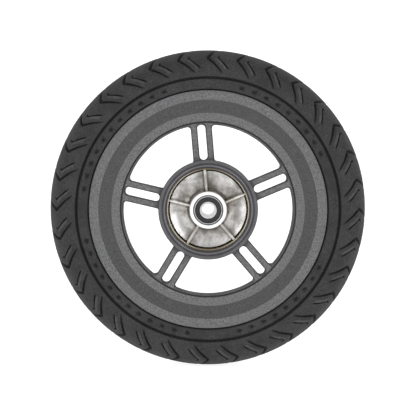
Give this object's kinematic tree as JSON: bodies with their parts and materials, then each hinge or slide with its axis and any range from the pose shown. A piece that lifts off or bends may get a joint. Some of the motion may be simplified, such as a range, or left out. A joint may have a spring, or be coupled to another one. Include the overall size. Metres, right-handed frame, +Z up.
{
  "type": "scooter wheel",
  "caption": "Cast-alloy scooter wheel with twin spokes, a pneumatic tyre, a brake drum inside the hub and sealed ball bearings for a plain axle.",
  "frame": {"origin": "on the axle's centre line, at the middle of the tyre's width", "axes": "+Y along the axle from the ribbed side of the hub to the brake-drum side, +Z up with the wheel upright, +X to the right seen from the ribbed side"},
  "size_m": [0.25, 0.0735, 0.25],
  "materials": {
    "casting": "grey powder coat on cast aluminium, bare in the hub recess",
    "drum_steel": "ground brake track",
    "tyre_rubber": "matt moulded rubber",
    "bead_steel": "brass-plated bead wire",
    "bearing_steel": "ground",
    "ball_steel": "polished",
    "cage_nylon": "natural nylon",
    "seal_rubber": "moulded seal",
    "zinc_steel": "bright zinc",
    "brass": "turned",
    "spring_steel": "spring wire",
    "cap_plastic": "moulded"
  },
  "bodies": {
    "axle_side": {"front_inner_ring": "bearing_steel", "rear_inner_ring": "bearing_steel", "bearing_spacer": "zinc_steel"},
    "wheel": {"wheel_casting": "casting", "drum_liner": "drum_steel", "tyre": "tyre_rubber", "bead_wire_front": "bead_steel", "bead_wire_rear": "bead_steel", "front_outer_ring": "bearing_steel", "rear_outer_ring": "bearing_steel", "front_seal_outboard": "seal_rubber", "front_seal_inboard": "seal_rubber", "rear_seal_outboard": "seal_rubber", "rear_seal_inboard": "seal_rubber", "valve_stem": "brass", "valve_gasket": "seal_rubber", "valve_washer": "zinc_steel", "valve_nut": "zinc_steel", "valve_core": "brass", "valve_spring": "spring_steel"},
    "front_cage_set": {"front_balls": "ball_steel", "front_cage": "cage_nylon"},
    "rear_cage_set": {"rear_balls": "ball_steel", "rear_cage": "cage_nylon"},
    "valve_pin": {"valve_pin": "brass"},
    "valve_cap": {"valve_cap": "cap_plastic"}
  },
  "joints": [
    {"name": "wheel_spin", "type": "hinge", "parent": "axle_side", "child": "wheel", "pos_m": [0, 0, 0], "axis": [0, 1, 0], "continuous": true},
    {"name": "front_cage_orbit", "type": "hinge", "parent": "axle_side", "child": "front_cage_set", "pos_m": [0, -0.0328, 0], "axis": [0, 1, 0], "continuous": true},
    {"name": "rear_cage_orbit", "type": "hinge", "parent": "axle_side", "child": "rear_cage_set", "pos_m": [0, 0.0018, 0], "axis": [0, 1, 0], "continuous": true},
    {"name": "valve_pin_press", "type": "slide", "parent": "wheel", "child": "valve_pin", "axis": [0, -1, 0], "range_m": [0, 0.0012], "stiffness_N_per_m": 400, "springref_m": -0.0025, "deforming": ["valve_spring"]},
    {"name": "valve_cap_pull", "type": "slide", "parent": "wheel", "child": "valve_cap", "axis": [0, 1, 0], "range_m": [0, 0.012]}
  ],
  "couplings": [
    {"joint": "front_cage_orbit", "follows": "wheel_spin", "ratio": 0.5992},
    {"joint": "rear_cage_orbit", "follows": "wheel_spin", "ratio": 0.5992}
  ]
}
